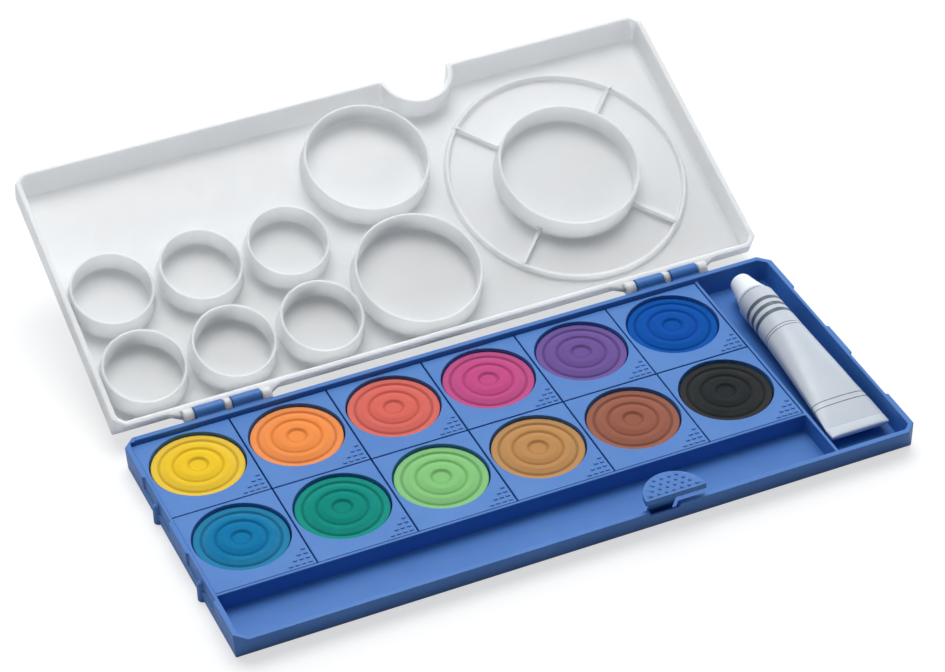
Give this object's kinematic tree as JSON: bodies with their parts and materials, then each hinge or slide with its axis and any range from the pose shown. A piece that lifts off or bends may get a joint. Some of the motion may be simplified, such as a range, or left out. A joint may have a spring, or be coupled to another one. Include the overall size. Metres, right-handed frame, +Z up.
{
  "type": "gouache paint set box",
  "caption": "Shallow blue plastic paint box with lift-out round paint pans, a brush tray, a tube of white and a hinged white lid that opens out as a palette with round mixing wells.",
  "frame": {"origin": "centre of the tray's underside", "axes": "+X along the box towards the paint tube, +Y towards the hinges and the open lid, +Z up"},
  "size_m": [0.2338, 0.2026, 0.0485],
  "materials": {
    "tray_plastic": "satin injection-moulded plastic, mid blue",
    "pan_plastic": "satin injection-moulded plastic, mid blue",
    "lid_plastic": "glossy white injection-moulded plastic",
    "tube_metal": "satin enamel on soft metal, creased by hand",
    "cap_plastic": "semi-matt white plastic",
    "white_paint": "wet white paint",
    "paint_yellow": "pressed matt gouache cake",
    "paint_orange": "pressed matt gouache cake",
    "paint_red": "pressed matt gouache cake",
    "paint_magenta": "pressed matt gouache cake",
    "paint_violet": "pressed matt gouache cake",
    "paint_ultramarine": "pressed matt gouache cake",
    "paint_cyan_blue": "pressed matt gouache cake",
    "paint_blue_green": "pressed matt gouache cake",
    "paint_light_green": "pressed matt gouache cake",
    "paint_ochre": "pressed matt gouache cake",
    "paint_brown": "pressed matt gouache cake",
    "paint_black": "pressed matt gouache cake"
  },
  "bodies": {
    "tray": {"tray": "tray_plastic"},
    "latch": {"thumb_latch": "tray_plastic"},
    "lid": {"palette_lid": "lid_plastic"},
    "pan_yellow_body": {"pan_yellow": "pan_plastic", "cake_yellow": "paint_yellow"},
    "pan_orange_body": {"pan_orange": "pan_plastic", "cake_orange": "paint_orange"},
    "pan_red_body": {"pan_red": "pan_plastic", "cake_red": "paint_red"},
    "pan_magenta_body": {"pan_magenta": "pan_plastic", "cake_magenta": "paint_magenta"},
    "pan_violet_body": {"pan_violet": "pan_plastic", "cake_violet": "paint_violet"},
    "pan_ultramarine_body": {"pan_ultramarine": "pan_plastic", "cake_ultramarine": "paint_ultramarine"},
    "pan_cyan_blue_body": {"pan_cyan_blue": "pan_plastic", "cake_cyan_blue": "paint_cyan_blue"},
    "pan_blue_green_body": {"pan_blue_green": "pan_plastic", "cake_blue_green": "paint_blue_green"},
    "pan_light_green_body": {"pan_light_green": "pan_plastic", "cake_light_green": "paint_light_green"},
    "pan_ochre_body": {"pan_ochre": "pan_plastic", "cake_ochre": "paint_ochre"},
    "pan_brown_body": {"pan_brown": "pan_plastic", "cake_brown": "paint_brown"},
    "pan_black_body": {"pan_black": "pan_plastic", "cake_black": "paint_black"},
    "tube": {"tube_body": "tube_metal", "tube_filling": "white_paint"},
    "cap": {"tube_cap": "cap_plastic"}
  },
  "joints": [
    {"name": "lid_hinge", "type": "hinge", "parent": "tray", "child": "lid", "pos_m": [0, 0.05365, 0.0093], "axis": [1, 0, 0], "range_deg": [0, 158]},
    {"name": "latch_flex", "type": "hinge", "parent": "tray", "child": "latch", "pos_m": [0.0298, -0.04562, 0.0026], "axis": [1, 0, 0], "range_deg": [0, 5], "stiffness_Nm_per_rad": 0.05},
    {"name": "pan_yellow_lift", "type": "slide", "parent": "tray", "child": "pan_yellow_body", "axis": [0, 0, -1], "range_m": [-0.02, 0]},
    {"name": "pan_orange_lift", "type": "slide", "parent": "tray", "child": "pan_orange_body", "axis": [0, 0, -1], "range_m": [-0.02, 0]},
    {"name": "pan_red_lift", "type": "slide", "parent": "tray", "child": "pan_red_body", "axis": [0, 0, -1], "range_m": [-0.02, 0]},
    {"name": "pan_magenta_lift", "type": "slide", "parent": "tray", "child": "pan_magenta_body", "axis": [0, 0, -1], "range_m": [-0.02, 0]},
    {"name": "pan_violet_lift", "type": "slide", "parent": "tray", "child": "pan_violet_body", "axis": [0, 0, -1], "range_m": [-0.02, 0]},
    {"name": "pan_ultramarine_lift", "type": "slide", "parent": "tray", "child": "pan_ultramarine_body", "axis": [0, 0, -1], "range_m": [-0.02, 0]},
    {"name": "pan_cyan_blue_lift", "type": "slide", "parent": "tray", "child": "pan_cyan_blue_body", "axis": [0, 0, -1], "range_m": [-0.02, 0]},
    {"name": "pan_blue_green_lift", "type": "slide", "parent": "tray", "child": "pan_blue_green_body", "axis": [0, 0, -1], "range_m": [-0.02, 0]},
    {"name": "pan_light_green_lift", "type": "slide", "parent": "tray", "child": "pan_light_green_body", "axis": [0, 0, -1], "range_m": [-0.02, 0]},
    {"name": "pan_ochre_lift", "type": "slide", "parent": "tray", "child": "pan_ochre_body", "axis": [0, 0, -1], "range_m": [-0.02, 0]},
    {"name": "pan_brown_lift", "type": "slide", "parent": "tray", "child": "pan_brown_body", "axis": [0, 0, -1], "range_m": [-0.02, 0]},
    {"name": "pan_black_lift", "type": "slide", "parent": "tray", "child": "pan_black_body", "axis": [0, 0, -1], "range_m": [-0.02, 0]},
    {"name": "tube_lift", "type": "slide", "parent": "tray", "child": "tube", "axis": [0, 0, -1], "range_m": [-0.03, 0]},
    {"name": "cap_turn", "type": "hinge", "parent": "tube", "child": "cap", "pos_m": [0.1013, 0.0315, 0.00785], "axis": [0, 1, 0], "range_deg": [0, 720]}
  ]
}
